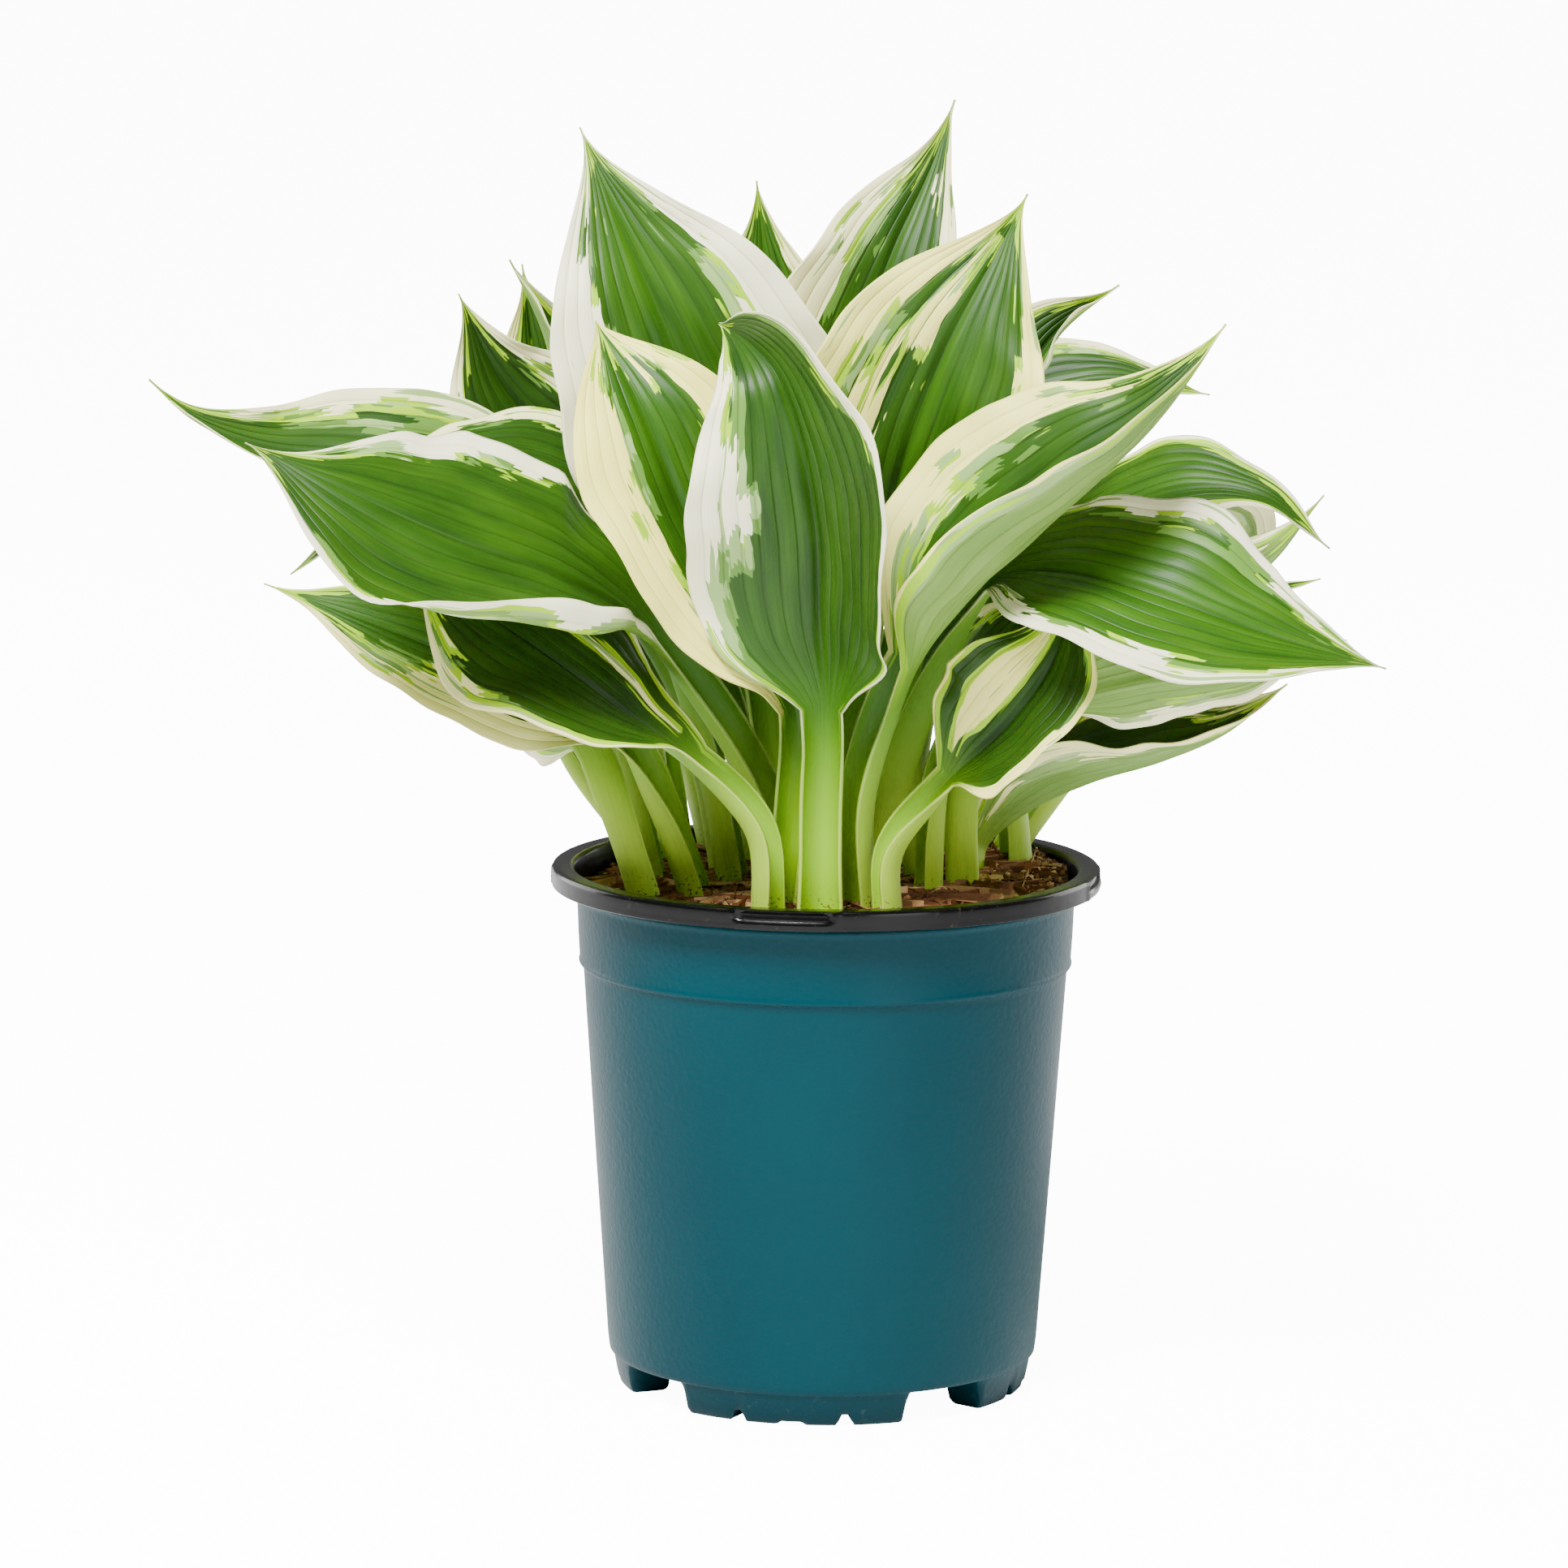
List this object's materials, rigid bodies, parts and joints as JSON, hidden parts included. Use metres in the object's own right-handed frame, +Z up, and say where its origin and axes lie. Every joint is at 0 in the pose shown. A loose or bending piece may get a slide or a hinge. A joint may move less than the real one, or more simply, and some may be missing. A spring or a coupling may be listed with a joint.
{
  "type": "potted hosta plant",
  "caption": "Hosta with long-stalked, heart-shaped, cream-edged leaves, growing in potting soil in a round plastic nursery pot.",
  "frame": {"origin": "on the ground, under the middle of the whole plant's outline; the pot's axis stands 21 mm to +X and 27 mm to -Y of it", "axes": "+Z up, -Y the front of the plant, +X the plant's right seen from the front"},
  "size_m": [0.3556, 0.2846, 0.3803],
  "materials": {
    "pot_plastic": "satin teal thermoformed sheet, fine orange-peel texture outside; black and glossier inside and on the rim",
    "potting_soil": "dark brown peat and bark mix, coarse and matt, with pale fibres",
    "hosta_leaf": "satin leaf, green centre with a feathered grey-green edge and a cream to white margin, sunken parallel veins"
  },
  "bodies": {
    "root": {"pot": "pot_plastic", "soil": "potting_soil", "leaf_front_centre": "hosta_leaf", "leaf_front_mid_left": "hosta_leaf", "leaf_front_right": "hosta_leaf", "leaf_front_left": "hosta_leaf", "leaf_low_left": "hosta_leaf", "leaf_cup_right": "hosta_leaf", "leaf_low_right_front": "hosta_leaf", "leaf_under_left": "hosta_leaf", "leaf_far_low_left": "hosta_leaf", "leaf_left_mid": "hosta_leaf", "leaf_far_left": "hosta_leaf", "leaf_left_small": "hosta_leaf", "leaf_upper_left": "hosta_leaf", "leaf_back_left_tip": "hosta_leaf", "leaf_left_rolled": "hosta_leaf", "leaf_top_left": "hosta_leaf", "leaf_back_top": "hosta_leaf", "leaf_top_right": "hosta_leaf", "leaf_right_centre": "hosta_leaf", "leaf_right_rolled": "hosta_leaf", "leaf_back_right": "hosta_leaf", "leaf_right_arch": "hosta_leaf", "leaf_right_back": "hosta_leaf", "leaf_right_small": "hosta_leaf", "leaf_right_under": "hosta_leaf", "leaf_low_right": "hosta_leaf", "leaf_mid_right_small": "hosta_leaf", "leaf_rear_left": "hosta_leaf", "leaf_rear_centre": "hosta_leaf", "leaf_rear_right": "hosta_leaf", "leaf_rear_low_left": "hosta_leaf", "leaf_rear_low_centre": "hosta_leaf", "leaf_rear_low_right": "hosta_leaf", "leaf_rear_upper": "hosta_leaf"}
  },
  "joints": []
}
